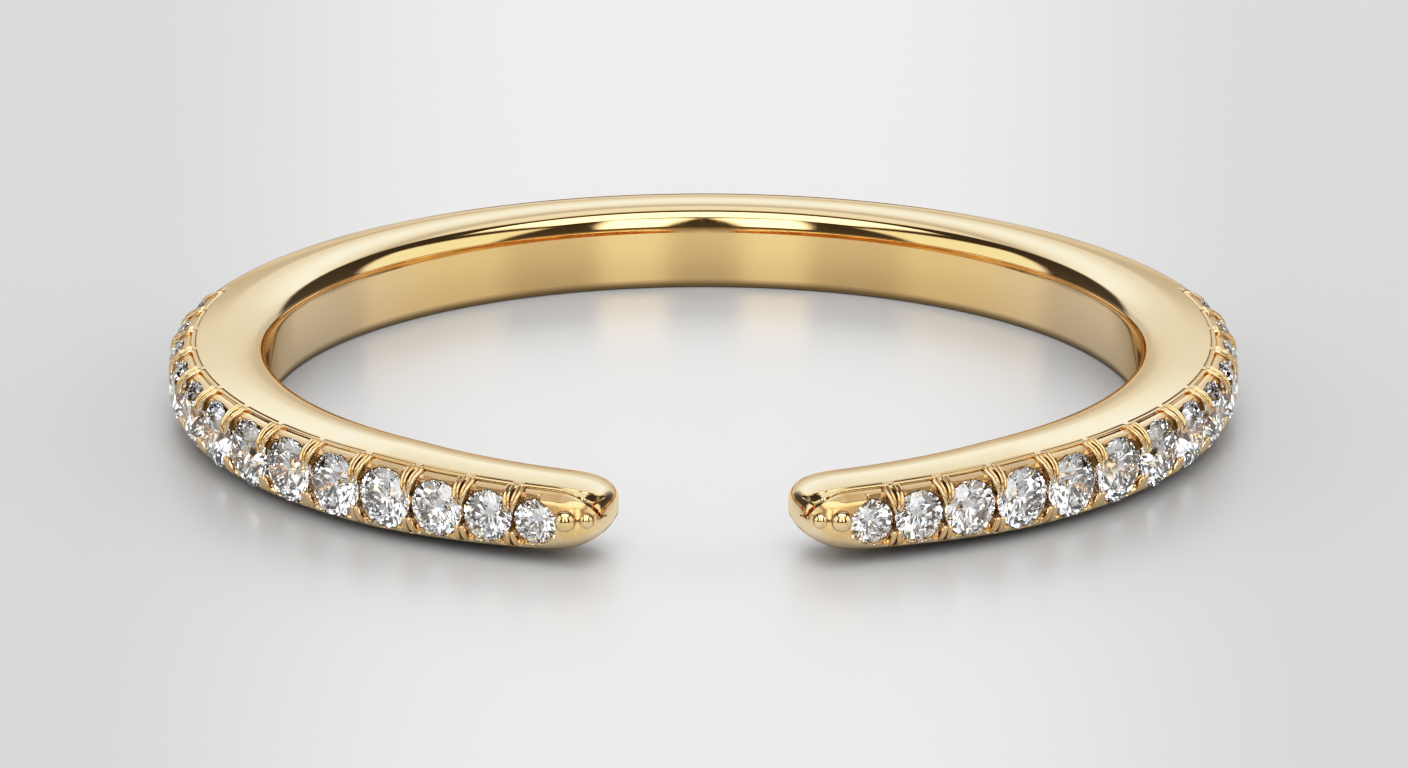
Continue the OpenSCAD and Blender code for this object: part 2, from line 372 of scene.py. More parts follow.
# what is cut round each stone; gaps are measured from the join, heights from the middle of the band
cell = {
    "facetRise": 3.1, "facetStop": 0.045, "facetSlope": 0.15, "facetUnder": 0.004, "lowerFace": 0.012,
    "end": 0.20, "endSoft": 0.012, "slant": 0.10, "slantFrom": 0.8, "firstFace": (-0.12, -0.02),
    "corner": 0.03, "cornerUnder": 0.03, "cornerHeights": (0.10, 0.25), "cornerLip": 0.02,
    "cornerFade": 0.03,
    "grain": 0.035, "grainRound": 38, "grainOut": 70, "grainTwist": 9, "grainShare": 0.25,
    "slit": 1.7, "slitHeights": (0.05, 0.15), "lowSlitGaps": (0.014, 0.030),
    "slitBelow": 0.06, "slitSoft": 0.05,
    "block": 0.115, "blockInner": 0.02, "blockOuter": 0.004, "flank": 0.10, "web": 0.125, "webSoft": 0.08,
    "backWeb": 0.5, "groove": 0.06, "grooveWidth": 0.022,
    "waist": 0.27, "waistSoft": 0.02, "waistGaps": (0.1, 0.14), "waistDepth": 0.15,
    "seatDown": 0.035, "seatSlope": 0.9, "seatInner": 0.004, "seatOuter": 0.014, "underInner": 0.06,
    "underOuter": 0.02,
}


# round stone i: the radius of the cut, the share of painted shade at the rough corners and in the slits, and
# the share that lies under the stone
def cutCell(i, turn, z, dome, noseFloor):
    girdle, size = stones["girdle"], stoneRadii[i]
    lip, high = lipAt(turn), np.abs(z)
    local = girdle * np.sin(turn - stoneTurns[i])
    gap = size + stones["gap"] / 2 - np.abs(local)
    fromAxis, angle = np.sqrt(local ** 2 + z ** 2), np.arctan2(z, local)
    inRow = (local > 0) | (i > 0)
    # a flat cut runs out from under the lip, close to level, down to the stone
    level = setting["lipRadius"] + np.maximum(lip - high, 0) * cell["facetRise"]
    stop = girdle - cell["facetStop"] + (lip - high) * cell["facetSlope"]
    facet = np.minimum(level / np.cos(turn - stoneTurns[i]), np.minimum(dome - cell["facetUnder"], stop))
    face = np.where(z > 0, facet, dome - cell["lowerFace"])
    # rough metal at the upper corners with painted shade on it, and painted shade in the slits beside the
    # ridges
    swirl = fromAxis * cell["grainOut"] + angle * cell["grainTwist"]
    grain = np.cos(angle * cell["grainRound"] + i) * np.cos(swirl)
    roughFace = np.minimum(dome - cell["cornerUnder"], girdle + cell["corner"] + cell["grain"] * grain)
    ends = cell["end"] + cell["slant"] * np.clip((lip - high) / (lip - size * cell["slantFrom"]), 0, 1)
    onFace = around(gap, ends, cell["endSoft"])
    corner = (1 - onFace) * smooth(z, *cell["cornerHeights"]) * smooth(lip - high, 0, cell["cornerLip"])
    corner = corner * smooth(gap, cell["block"] - cell["cornerFade"], cell["block"]) * inRow
    besideBlock = 1 - smooth(gap, cell["block"] - cell["blockInner"], cell["block"])
    lowSlit = (1 - smooth(gap, *cell["lowSlitGaps"])) * smooth(-z, *cell["slitHeights"])
    lowSlit = lowSlit * smooth(edgeAt(turn) - cell["slitBelow"] - high, 0, cell["slitSoft"])
    slit = besideBlock * smooth(z, *cell["slitHeights"]) + lowSlit
    corner = corner * (1 - cell["grainShare"] + cell["grainShare"] * grain)
    corner = np.maximum(corner, cell["slit"] * slit * inRow)
    here = blend(roughFace, face, onFace)
    # the block of metal between two stones, with rounded flanks and a groove down its middle
    flank = cell["flank"] * np.clip(gap / cell["block"], 0, 1) ** 2
    block = dome - cell["web"] * smooth(lip - high, 0.0, cell["webSoft"]) - flank
    block -= cell["groove"] * np.exp(-(gap / cell["grooveWidth"]) ** 2)
    if i == 0:
        here = blend(noseFloor, here, smooth(local, *cell["firstFace"]))
        block = np.where(local < 0, noseFloor, block)
    blockEnd = smooth(gap, cell["block"] - cell["blockInner"], cell["block"] + cell["blockOuter"])
    here = blend(block, here, blockEnd)
    # the cleft to the next stone, and the seat
    waist = cell["waist"] * size / stoneRadii[-1]
    deep = (1 - around(high, waist, cell["waistSoft"])) * (1 - smooth(gap, *cell["waistGaps"]))
    here = blend(here, np.minimum(here, girdle - cell["waistDepth"]), deep)
    seat = girdle - cell["seatDown"] - (size - np.minimum(fromAxis, size)) * cell["seatSlope"]
    seatEnd = smooth(fromAxis, size + cell["seatInner"], size + cell["seatOuter"])
    here = blend(np.minimum(here, seat), here, seatEnd)
    return here, corner, 1 - smooth(fromAxis, size - cell["underInner"], size - cell["underOuter"])


# radius of the outside with the setting cut, the plain dome, the share of painted shade at corners and
# slits, and the share of covered metal
def settingSurface(turn, z):
    dome, high = domeAt(turn, z), np.abs(z)
    upper = smooth(lipAt(turn) + setting["lipReach"] - high, 0, setting["lipSoft"])
    lower = smooth(edgeAt(turn) - setting["rimBelow"] - high, 0, setting["rimSoft"])
    inside = np.where(z > 0, upper, lower) * (1 - around(turn, channelEnd, backSoft))
    noseFloor = noseFloorAt(turn, z, dome)
    cut, cornerShade, under = noseFloor, np.zeros(dome.shape), np.zeros(dome.shape)
    for i in range(stones["count"]):
        here, corner, covered = cutCell(i, turn, z, dome, noseFloor)
        inCell = (turn > joinTurns[i]) & (turn <= joinTurns[i + 1])
        cut = np.where(inCell, here, cut)
        cornerShade = np.where(inCell, corner, cornerShade)
        under = np.where(inCell, covered, under)
    cut = np.where(turn > joinTurns[-1], dome - cell["web"] * cell["backWeb"], cut)
    return blend(dome, cut, inside), dome, cornerShade * inside, under


# the slope from the smooth face to the lip: a fine groove, the round lip wire and a deeper groove under it,
# each with its place and half width in millimetres; the fine groove's place is measured from the top of the
# slope, the others' from its end
edging = {
    "rows": 17, "fine": (0.020, 0.013), "under": (0.018, 0.011), "wire": (0.062, 0.030),
    "groove": 0.024, "fineDepth": 0.7, "wireHeight": 0.028,
    "shadeTurns": (11.2, 12.4), "fineShades": (0.4, 1.1), "underShades": (0.9, 0.25), "shadeCells": (1, 4),
}


def cornerHeight(radius):
    share = (radius - ring["crest"]) / (ring["edge"] - ring["crest"])
    return ring["half"] - (ring["half"] - ring["edgeHeight"]) * share ** ring["facePower"]


def nearness(distance, place, width):
    return np.exp(-((distance - place) / width) ** 2)


def upperSection(turn):
    share = np.linspace(0, 1, edging["rows"], endpoint=False)[None, :]
    plainR = blend(ring["corner"], ring["edge"], share)
    plainZ = cornerHeight(plainR) * heightAt(turn)
    over = overStone(turn)
    # between two stones the smooth face reaches further out
    corner = ring["corner"] + setting["scallop"] * (1 - over)
    startZ = cornerHeight(corner) * heightAt(turn)
    lip = lipAt(turn)
    lipR = lipRadiusAt(turn) + setting["scallop"] * setting["lipScallop"] * (1 - over)
    length = np.sqrt((lipR - corner) ** 2 + (startZ - lip) ** 2)
    cutR, cutZ = blend(corner, lipR, share), blend(startZ, lip, share)
    fromEnd = (1 - share) * length
    fine = nearness(share * length, *edging["fine"])
    under = nearness(fromEnd, *edging["under"]) * over
    wirePlace, wireWidth = edging["wire"]
    wire = np.sqrt(np.clip(1 - ((fromEnd - wirePlace) / wireWidth) ** 2, 0, 1)) * over
    # pressed in or raised square to the slope
    press = edging["groove"] * (edging["fineDepth"] * fine + under) - edging["wireHeight"] * wire
    cutR = cutR - press * (startZ - lip) / length
    cutZ = cutZ - press * (lipR - corner) / length
    mask = inSetting(turn)
    # painted shade in the grooves: the first cells show a dark line under the lip, the larger ones one above
    # it
    firstCell, lastCell = edging["shadeCells"]
    larger = smooth(turn, stoneTurns[firstCell], stoneTurns[lastCell])
    shade = fine * blend(*edging["fineShades"], larger) + under * blend(*edging["underShades"], larger)
    shade = np.clip(shade, 0, 1) * mask * smoothTurn(turn, edging["shadeTurns"])
    return blend(plainR, cutR, mask), blend(plainZ, cutZ, mask), shade


# rows of the outer face, as distances below its upper edge
faceOffsets = [0, 0.007, 0.014, 0.021, 0.028, 0.036, 0.044, 0.052, 0.06, 0.07, 0.08, 0.092, 0.104, 0.118,
               0.132, 0.147, 0.162, 0.177, 0.192, 0.208, 0.224, 0.24, 0.257, 0.275, 0.295, 0.32, 0.36, 0.41,
               0.47, 0.53, 0.59, 0.65]
faceShares = [1 - o / ring["edgeHeight"] for o in faceOffsets]
faceShares = np.array(faceShares + [0] + [-s for s in reversed(faceShares)])
# how far below the edge they still follow the lip
rowsReach = 0.45

# the rest of the section: rows of the top face and the underside as shares of their width, and how many rows
# the roll, the wall and its foot have
section = {
    "cornerBack": (0.03, 0.07), "face": (0.68, 0.57, 0.46, 0.35, 0.24, 0.14, 0.06, 0),
    "shoulderRows": 9, "bendRows": 16, "tilt": 8.0, "flat": 0.085, "flatShares": (0.5, 0.92),
    "wallFrom": 0.008, "wallRows": 9, "footRows": 5, "under": (0, 0.15, 0.3, 0.45, 0.6, 0.75, 0.88, 0.96),
}


def bodyRows():
    crest, edge, half, bore = ring["crest"], ring["edge"], ring["half"], ring["bore"]
    drop = half - ring["edgeHeight"]
    last = (ring["corner"] - crest) / (edge - crest)
    face = [last - s for s in section["cornerBack"]] + list(section["face"])
    top = [(crest + (edge - crest) * s, half - drop * s ** ring["facePower"]) for s in face]
    # a slow fall from the crest, a rounder shoulder, then a narrow flat above the upright wall
    rollWidth, fall = crest - bore, ring["rollHeight"]
    roll = [(crest - rollWidth * math.sin(t), half - fall * (1 - math.cos(t)))
            for t in np.linspace(0, math.pi / 4, section["shoulderRows"])[1:]]
    lean = math.atan2(rollWidth, fall)
    flat = math.radians(section["tilt"])
    startR, startZ = roll[-1]
    endR = bore + section["flat"] * math.tan(flat)
    bend = (startR - endR) / (math.cos(flat) - math.cos(lean))
    for t in np.linspace(lean, flat, section["bendRows"])[1:]:
        inward, down = math.cos(t) - math.cos(lean), math.sin(lean) - math.sin(t)
        roll.append((startR - bend * inward, startZ - bend * down))
    flatTop = roll[-1][1]
    roll += [(endR - (endR - bore) * s, flatTop - section["flat"] * s) for s in section["flatShares"]]
    wallTop, wallLow = flatTop - section["flat"], ring["lowerRound"] - half
    wallStart, wallStep = wallTop - section["wallFrom"], (wallLow - wallTop) / section["wallRows"]
    roll += [(bore, wallTop), (bore, wallStart)]
    wall = [(bore, wallStart + wallStep * k) for k in range(1, section["wallRows"])]
    lower = [(bore + ring["lowerRound"] * (1 + math.cos(t)), wallLow + ring["lowerRound"] * math.sin(t))
             for t in np.linspace(math.pi, math.pi * 1.5, section["footRows"])]
    under = [(crest + (edge - crest) * s, -half + drop * s ** ring["facePower"]) for s in section["under"]]
    return np.array(top + roll + wall + lower + under)


# stations round the ring: steps in the nose, millimetres between those along the setting, steps behind it,
# how many along the setting one coarse station spans, how far past its end they go on, and how the steps
# grow towards the back
stations = {"nose": 116, "fine": 0.0195, "back": 46, "each": 6, "past": 0.1, "grow": 1.6}


def stationTurns():
    noseSteps, each = stations["nose"], stations["each"]
    nose = noseFrom + (noseTip - noseFrom) * np.sin(np.linspace(math.pi / 2, 0, noseSteps + 1)[1:])
    setEnd = joinTurns[-1] + (setting["back"] + stations["past"]) / stones["girdle"]
    count = int((setEnd - noseFrom) * stones["girdle"] / stations["fine"] / each) * each
    along = np.linspace(noseFrom, setEnd, count + 1)[1:]
    fade = np.linspace(0, 1, stations["back"] + 1)[1:]
    rear = setEnd + (math.pi - setEnd) * (1 - (1 - fade) ** stations["grow"])
    turns = np.concatenate([nose, along, rear])
    coarse = list(range(0, noseSteps, 2))
    coarse += range(noseSteps - 1, noseSteps + count, each)
    coarse += range(noseSteps + count, len(turns))
    return turns, sorted(set(coarse))


def makeMesh(name, points, faces, material, recess, line, sharp):
    mesh = bpy.data.meshes.new(name)
    mesh.from_pydata([tuple(p) for p in np.asarray(points) * mm], [], faces)
    mesh.update()
    mesh.shade_smooth()
    mesh.set_sharp_from_angle(angle=math.radians(sharp))
    for title, values in (("recess", recess), ("line", line)):
        layer = mesh.attributes.new(title, "FLOAT", "POINT")
        layer.data.foreach_set("value", np.zeros(len(points), np.float32) if values is None else values)
    mesh.materials.append(material)
    piece = bpy.data.objects.new(name, mesh)
    scene.collection.objects.link(piece)
    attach(piece, "root")
    return piece


# the points are made for the right arm and mirrored for the left
def mirrored(points, faces, side):
    if side == "right":
        return points, faces
    return points * np.array([-1, 1, 1]), [list(reversed(f)) for f in faces]


# a piece of gold on each arm, in place of the CAD band
def makePair(name, points, faces, recess=None, line=None, sharp=32):
    for side in ("left", "right"):
        p, f = mirrored(points, faces, side)
        piece = makeMesh(name + side.capitalize(), p, f, gold, recess, line, sharp)
        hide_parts("band")
    print(name, "made on both arms, triangles in each:", sum(len(f) - 2 for f in faces))


# painted shade: shares of deep tone and of dark line, from how deep the face is cut, on the facets and at
# the corners; below footHeight and inside footRadius lies a painted contact shadow, the dark line at the
# wall's foot
paintedShading = {
    "sunkFrom": 0.06, "sunkOver": 0.24, "covered": 0.9,
    "facet": 0.42, "facetBelow": (0.004, 0.03), "facetHeights": (0.04, 0.18), "facetTurns": (11.2, 12.6),
    "corner": 0.85, "groove": 0.6, "darkFrom": 0.75, "darkCorner": 0.45,
    "footRadius": 8.56, "footHeight": -0.745,
}


# along the setting the rows of the face start at the lip instead of the edge
def faceHeights(turn):
    edge = edgeAt(turn)
    plainZ = edge * faceShares[None, :]
    drop = (edge - np.maximum(lipAt(turn), 0)) * inSetting(turn)
    return plainZ - drop * (1 - smooth(edge - plainZ, 0, rowsReach))


# painted shade in the cuts, deeper where the face is cut deeper and less where a stone covers it
def faceShading(turn, z, surface, dome, cornerShade, under):
    depth = (dome - surface - paintedShading["sunkFrom"]) / paintedShading["sunkOver"]
    sunk = np.clip(depth, 0, 1) * (1 - paintedShading["covered"] * under)
    # painted shade: the cut facets get a darker, deeper tone and are a little rougher than the polished face
    facet = overStone(turn) * inSetting(turn) * smooth(lipAt(turn) - z, *paintedShading["facetBelow"])
    facet = facet * smooth(z, *paintedShading["facetHeights"]) * smoothTurn(turn, paintedShading["facetTurns"])
    shadeMarks = np.clip(np.maximum(paintedShading["facet"] * facet, paintedShading["corner"] * cornerShade), 0, 1)
    sunk = np.maximum(sunk, shadeMarks * (1 - under))
    return sunk, np.clip(np.maximum(sunk - paintedShading["darkFrom"], paintedShading["darkCorner"] * cornerShade), 0, 1)


# the outer face has a row of points at every station, the rest of the section one at the coarse stations
def bandFaces(count, rows, coarse, bodyCount, pole):
    def outer(s, j):
        return s * rows + j

    def inner(c, j):
        return count * rows + c * bodyCount + j

    faces = []
    for s in range(count - 1):
        for j in range(rows - 1):
            faces.append([outer(s, j), outer(s, j + 1), outer(s + 1, j + 1), outer(s + 1, j)])
    for c in range(len(coarse) - 1):
        for j in range(bodyCount - 1):
            faces.append([inner(c, j), inner(c + 1, j), inner(c + 1, j + 1), inner(c, j + 1)])
        run = list(range(coarse[c], coarse[c + 1] + 1))
        faces.append([inner(c + 1, 0), inner(c, 0)] + [outer(s, 0) for s in run])
        faces.append([inner(c, bodyCount - 1), inner(c + 1, bodyCount - 1)]
                     + [outer(s, rows - 1) for s in reversed(run)])
    ends = []
    for s, c in ((0, 0), (count - 1, len(coarse) - 1)):
        ends.append([outer(s, j) for j in range(rows)] + [inner(c, j) for j in range(bodyCount - 1, -1, -1)])
    loop, back = ends
    faces += [[loop[n], pole, loop[(n + 1) % len(loop)]] for n in range(len(loop))]
    faces.append(back)
    return faces


def bandHalf():
    turns, coarse = stationTurns()
    across = turns[:, None]
    z = faceHeights(across)
    surface, dome, cornerShade, under = settingSurface(across, z)
    upperR, upperZ, shade = upperSection(across)
    facePoints = np.concatenate([inPlace(across, upperR, upperZ), inPlace(across, surface, z)], 1)
    sunk, dark = faceShading(across, z, surface, dome, cornerShade, under)
    # painted shade: the grooves' dark lines and the shade in the cuts, as deep tone and as dark line
    deep = np.concatenate([shade * paintedShading["groove"], sunk], 1)
    dark = np.concatenate([shade, dark], 1)
    body = bodyRows()
    t = turns[coarse][:, None]
    bodyPoints = inPlace(t, body[None, :, 0], body[None, :, 1] * heightAt(t))
    pole = inPlace(np.array(noseTip), tipRadius, 0.0).reshape(1, 3)
    points = np.concatenate([facePoints.reshape(-1, 3), bodyPoints.reshape(-1, 3), pole])
    # painted contact shadow: a dark line at the wall's foot
    atFoot = (body[:, 0] < paintedShading["footRadius"]) & (body[:, 1] < paintedShading["footHeight"])
    foot = np.broadcast_to(np.where(atFoot, 1.0, 0.0), (len(coarse), len(body)))
    recess = np.concatenate([deep.reshape(-1), np.zeros(foot.size + 1)]).astype(np.float32)
    line = np.concatenate([dark.reshape(-1), foot.reshape(-1), [0]]).astype(np.float32)
    faces = bandFaces(len(turns), deep.shape[1], coarse, len(body), len(points) - 1)
    return points, faces, recess, line


makePair("band", *bandHalf())


# tubes along given paths, with closed ends, all in one mesh
def tubes(paths, sides):
    points, faces = [], []
    for path, radii in paths:
        path = np.asarray(path, float)
        start = len(points)
        along = np.gradient(path, axis=0)
        along /= np.linalg.norm(along, axis=1)[:, None]
        side = np.cross(along[0], [0.0, 0.0, 1.0])
        if np.linalg.norm(side) < 0.2:  # the path starts upright
            side = np.cross(along[0], [1.0, 0.0, 0.0])
        for n in range(len(path)):
            side = side - along[n] * np.dot(side, along[n])
            side /= np.linalg.norm(side)
            other = np.cross(along[n], side)
            for q in range(sides):
                angle = 2 * math.pi * q / sides
                points.append(path[n] + radii[n] * (side * math.cos(angle) + other * math.sin(angle)))
        for n in range(len(path) - 1):
            for q in range(sides):
                a, b = start + n * sides + q, start + n * sides + (q + 1) % sides
                faces.append([a, b, b + sides, a + sides])
        faces.append([start + q for q in range(sides - 1, -1, -1)])
        faces.append([start + (len(path) - 1) * sides + q for q in range(sides)])
    return np.array(points), faces


# radii along a tube with rounded ends: the share of its size at each end, and how far each end reaches in
def roundedRadii(count, size, startShare, endShare, startReach, endReach):
    t = np.linspace(0, 1, count)
    grow = startShare + (1 - startShare) * np.sqrt(np.clip(1 - np.clip(1 - t / startReach, 0, 1) ** 2, 0, 1))
    fall = endShare + (1 - endShare) * np.sqrt(np.clip(1 - np.clip(1 - (1 - t) / endReach, 0, 1) ** 2, 0, 1))
    return size * np.minimum(grow, fall)


# the paired prongs: fine round ridges that start on the smooth face and run over the lip to the waist, and
# one broad lobe under each pair; ridges gives the outer and inner one's distance from the join at the top
# and at the end, width, and how much sooner it stops
prongs = {
    "rings": 15, "sides": 8, "recess": 0.13, "sharp": 60,
    "ridges": ((0.150, 0.042, 1.05, 0.0), (0.062, 0.026, 0.86, 0.13)),
    "size": 0.036, "varied": 0.07, "phase": 5.3,
    "sunk": 0.029, "sunkMore": 0.8, "rise": 0.057, "risePower": 0.7,
    "overlap": 0.035, "lipBelow": 0.012, "stopUpper": 0.22, "ridgeEnds": (0.4, 0.3, 0.14, 0.5),
    "startOut": (-0.012, 0.045, 0.005), "startUp": (-0.026, -0.012, 0.012),
    "lobe": (0.088, 0.046), "lobeSize": 0.060, "lobeSunk": 0.056, "lobeSunkMore": 0.3, "lobeTop": 0.62,
    "stopLower": 0.25, "lobeEnds": (0.1, 0.35, 0.45, 0.18),
}


# way is -1 towards the tip and 1 towards the back; small brings the prongs' ends nearer the middle beside
# smaller stones
def ridgePath(join, way, kind, size, small):
    turn = np.array(joinTurns[join])
    top, end, thick, sooner = prongs["ridges"][kind]
    lip = float(lipAt(turn))
    z = np.linspace(lip - prongs["lipBelow"], (prongs["stopUpper"] + sooner) * small, prongs["rings"])
    share = (z[0] - z) / (z[0] - z[-1])
    hug = size + stones["gap"] / 2 - np.sqrt(np.clip((size - prongs["overlap"]) ** 2 - z ** 2, 0, None))
    across = np.maximum(np.minimum(blend(top, end, share), hug), end)
    turns = turn + way * across / stones["girdle"]
    radius = domeAt(turns, z) - prongs["sunk"] * (1 + prongs["sunkMore"] * share ** 2)
    radius += prongs["rise"] * np.sin(math.pi * share ** prongs["risePower"])
    # three points before it, on the smooth face and over the lip
    corner = ring["corner"] + setting["scallop"]
    crown = cornerHeight(corner) * float(heightAt(turn))
    lipR = float(lipRadiusAt(turn)) + setting["lipScallop"] * setting["scallop"]
    startR = np.array([corner, corner, lipR]) + prongs["startOut"]
    startZ = np.array([crown, crown, lip]) + prongs["startUp"]
    turns = np.concatenate([[turns[0]] * len(startR), turns])
    radius, z = np.concatenate([startR, radius]), np.concatenate([startZ, z])
    phase = join * prongs["phase"] + way * 2 + kind  # no two ridges quite the same width
    width = prongs["size"] * thick * (1 + prongs["varied"] * math.sin(phase))
    return inPlace(turns, radius, z), roundedRadii(len(z), width, *prongs["ridgeEnds"])


def lobePath(join, way, small):
    turn = joinTurns[join]
    z = np.linspace(prongs["lobeTop"] * float(heightAt(turn)), prongs["stopLower"] * small, prongs["rings"])
    share = (z[0] - z) / (z[0] - z[-1])
    turns = turn + way * blend(*prongs["lobe"], share) / stones["girdle"]
    radius = domeAt(turns, z) - prongs["lobeSunk"] * (1 + prongs["lobeSunkMore"] * share ** 2)
    return inPlace(turns, radius, -z), roundedRadii(len(z), prongs["lobeSize"], *prongs["lobeEnds"])


def prongPaths():
    paths = []
    for join in range(1, stones["count"] + 1):
        small = math.sqrt(stoneRadii[join - 1] / stoneRadii[-1])
        for way, stone in ((-1, join - 1), (1, join)):
            if stone < stones["count"]:
                paths += [ridgePath(join, way, kind, stoneRadii[stone], small) for kind in (0, 1)]
                paths.append(lobePath(join, way, small))
    return paths


prongPoints, prongFaces = tubes(prongPaths(), prongs["sides"])
# painted shade: the prongs are a little darker and rougher all over
prongShadeAndRough = np.full(len(prongPoints), prongs["recess"], np.float32)
makePair("prongs", prongPoints, prongFaces, prongShadeAndRough, sharp=prongs["sharp"])

# the round beads at each tip: turn in degrees, height, diameter, depth of the centre under the surface; foot
# is the angle from the bead's front at which its painted shade, a dark line where it sits in the metal,
# starts, and the one at which it is full
beads = {
    "large": (14.55, 0.12, 0.42, 0.05), "small": (12.42, 0.125, 0.31, 0.03), "rings": 24, "sides": 32,
    "foot": (1.05, 1.35), "footShade": 0.6, "sharp": 60,
}


def beadMesh():
    rings, sides = beads["rings"], beads["sides"]
    points, faces, shade = [], [], []
    for name in ("large", "small"):
        degrees, z, diameter, sunk = beads[name]
        turn = np.array(math.radians(degrees))
        centre = inPlace(turn, domeAt(turn, np.array(z)) - sunk, z - float(middleAt(turn)))
        out = np.array([math.sin(turn), -math.cos(turn), 0])
        side = np.array([math.cos(turn), math.sin(turn), 0])
        top = np.array([0, 0, 1.0])
        start = len(points)
        points.append(centre + out * diameter / 2)
        shade += [0.0]
        for n in range(1, rings):
            fall = math.pi * n / rings
            shade += [float(smooth(fall, *beads["foot"]))] * sides
            for q in range(sides):
                angle = 2 * math.pi * q / sides
                flat = side * math.cos(angle) + top * math.sin(angle)
                points.append(centre + diameter / 2 * (out * math.cos(fall) + flat * math.sin(fall)))
        points.append(centre - out * diameter / 2)
        shade += [1.0]
        end = len(points) - 1
        for q in range(sides):
            onward = (q + 1) % sides
            faces.append([start, start + 1 + q, start + 1 + onward])
            for n in range(rings - 2):
                a = start + 1 + n * sides
                faces.append([a + q, a + sides + q, a + sides + onward, a + onward])
            a = start + 1 + (rings - 2) * sides
            faces.append([a + q, end, a + onward])
    return np.array(points), faces, np.array(shade, np.float32)


beadPoints, beadFaces, beadShade = beadMesh()
# painted shade at each bead's foot, as deep tone and as dark line
footShade = beads["footShade"] * beadShade
makePair("beads", beadPoints, beadFaces, footShade, footShade, beads["sharp"])

# the stones are the frame's own solids in a clear finish
for name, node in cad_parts.items():
    if name.startswith("stone"):
        node.data.materials.clear()
        node.data.materials.append(clearStone)
print("stones finished")

# metres; the floor is painted paler in the middle than at the sides, a painted pool of light
floorLook = {
    "size": 4.0, "middle": 0.515, "side": 0.362, "cool": 1.005, "from": 0.003, "to": 0.012,
    "rough": 0.30, "roughGrain": 0.01, "grain": 3000.0, "grainDetail": 3, "shine": 0.4,
}


def makeFloor():
    material, tree = newMaterial("paleFloor")
    place = addNode(tree, "ShaderNodeTexCoord", output="Object")
    x = addNode(tree, "ShaderNodeSeparateXYZ", inputs={"Vector": place}, output="X")
    grain = addNode(tree, "ShaderNodeTexNoise",
                    inputs={"Vector": place, "Scale": floorLook["grain"],
                            "Detail": floorLook["grainDetail"]})
    # painted pool of light: paler in the middle, darker and a touch cooler at the sides
    share = x.size().between(floorLook["from"], floorLook["to"])
    middle, side = floorLook["middle"], floorLook["side"]
    tone = mixColours(tree, share, (middle, middle, middle), (side, side, side * floorLook["cool"]))
    rough = floorLook["rough"] + floorLook["roughGrain"] * grain
    shader = addNode(tree, "ShaderNodeBsdfPrincipled",
                     inputs={"Base Color": tone, "Roughness": rough,
                             "Specular IOR Level": floorLook["shine"]})
    finishMaterial(tree, shader)
    mesh = bpy.data.meshes.new("floor")
    s = floorLook["size"] / 2
    z = -ring["half"] * mm
    mesh.from_pydata([(-s, -s, z), (s, -s, z), (s, s, z), (-s, s, z)], [], [(0, 1, 2, 3)])
    mesh.materials.append(material)
    floor = bpy.data.objects.new("floor", mesh)
    scene.collection.objects.link(floor)


makeFloor()
print("floor made")

# soft studio round the ring: a pale sweep behind it, dark warm sides and a strip of light overhead, with
# elevation in degrees against brightness; peak is the brightness that a colour of 1 stands for
studio = {
    "peak": 4.0,
    "far": [(-90, 0.5), (-8, 0.70), (-1, 0.92), (4, 0.62), (9, 0.66), (14, 0.88), (20, 0.94), (26, 1.20),
            (31, 1.36), (35, 1.22), (41, 0.94), (45, 0.62), (48, 0.62), (52, 1.05), (62, 1.05), (65, 0.70),
            (67, 0.06), (90, 0.06)],
    "farTint": (1.0, 1.0, 1.0), "farEdge": (0.62, 0.84),
    "near": [(-90, 0.4), (-3, 0.42), (2, 0.28), (8, 0.07), (50, 0.04), (70, 0.05), (90, 0.05)],
    "nearTint": (1.0, 0.80, 0.60),
    "strip": {"half": 0.60, "halfSoft": 0.1, "deep": 0.31, "deepSoft": 0.03, "shift": 0.13, "value": 2.5},
}
# azimuth it stands at (0 in front, 90 right), elevation, half width, half height, softness, value, tint
softBoxes = [
    (-19, 36, 0.155, 0.42, 0.05, 2.9, (1.0, 0.99, 0.97)),
    (19, 36, 0.155, 0.42, 0.05, 2.9, (1.0, 0.99, 0.97)),
    (-79, 26, 0.43, 0.38, 0.07, 1.25, (1.0, 0.98, 0.94)),
    (79, 26, 0.43, 0.38, 0.07, 1.25, (1.0, 0.98, 0.94)),
]
# soft lights over the floor, left out of the metal's reflections: azimuth, elevation, distance, width, power
fills = [
    (0, 54, 0.2, 0.22, 0.048), (0, 20, 0.2, 0.24, 0.118), (180, 19, 0.4, 0.30, 1.75),
    (-112, 17, 0.25, 0.19, 0.30), (112, 17, 0.25, 0.19, 0.30),
]
